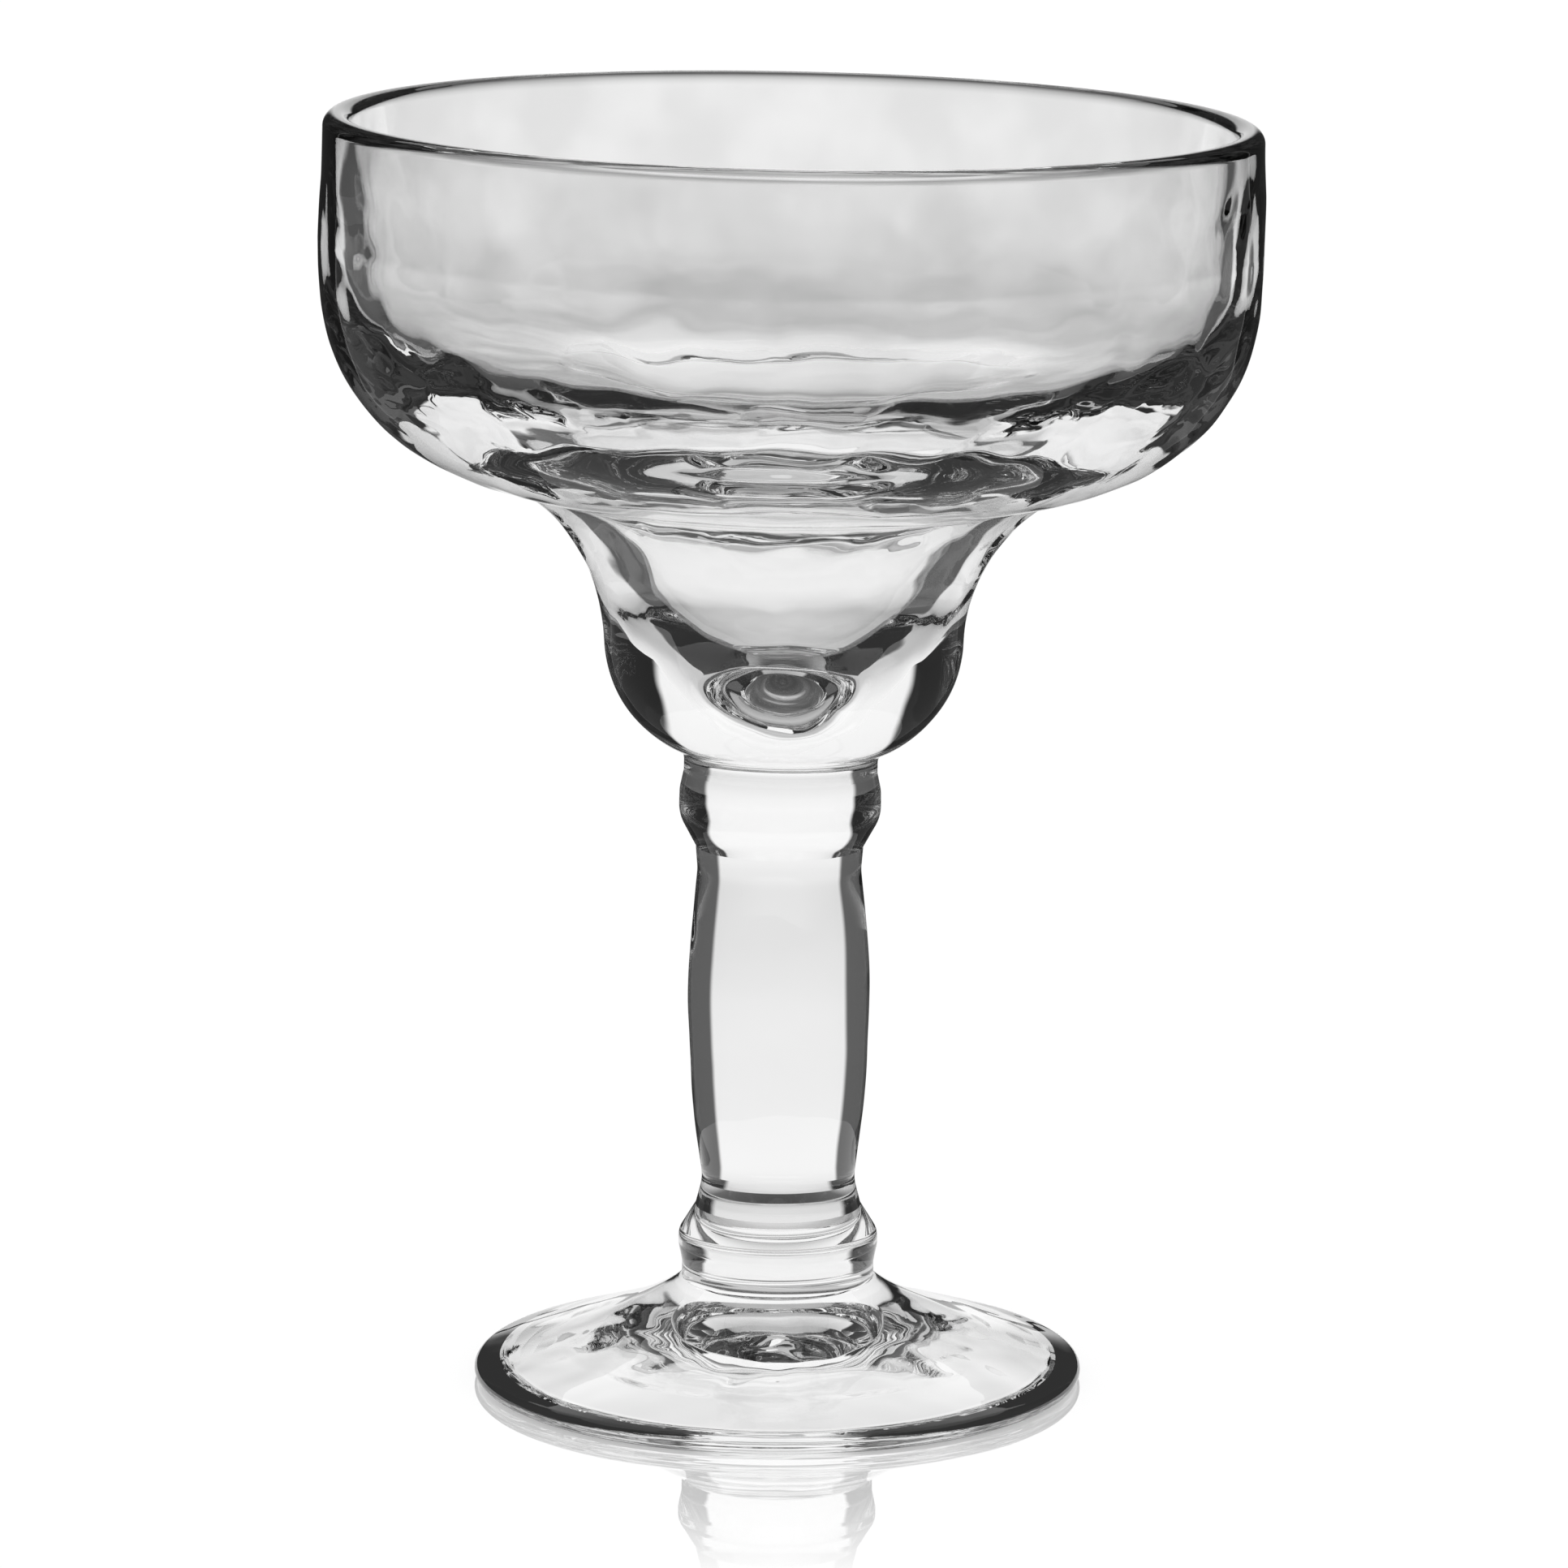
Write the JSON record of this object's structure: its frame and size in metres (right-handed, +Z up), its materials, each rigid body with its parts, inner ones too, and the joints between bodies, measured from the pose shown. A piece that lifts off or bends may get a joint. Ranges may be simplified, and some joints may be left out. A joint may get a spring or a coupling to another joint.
{
  "type": "margarita glass",
  "caption": "Clear stemmed cocktail glass: wide shallow dish over a narrow thick-walled well, baluster stem between two knops, round coned foot to stand on",
  "frame": {"origin": "centre of the underside of the foot, on the plane that the glass rests on", "axes": "+Z is up along the glass's axis; every piece is round about it, so X and Y are alike"},
  "size_m": [0.1164, 0.1164, 0.1595],
  "materials": {
    "clear_glass": "clear fire-polished soda-lime glass, softly hammered on the bowl and foot"
  },
  "bodies": {
    "root": {"foot": "clear_glass", "lower_knop": "clear_glass", "stem": "clear_glass", "upper_knop": "clear_glass", "bowl": "clear_glass"}
  },
  "joints": []
}
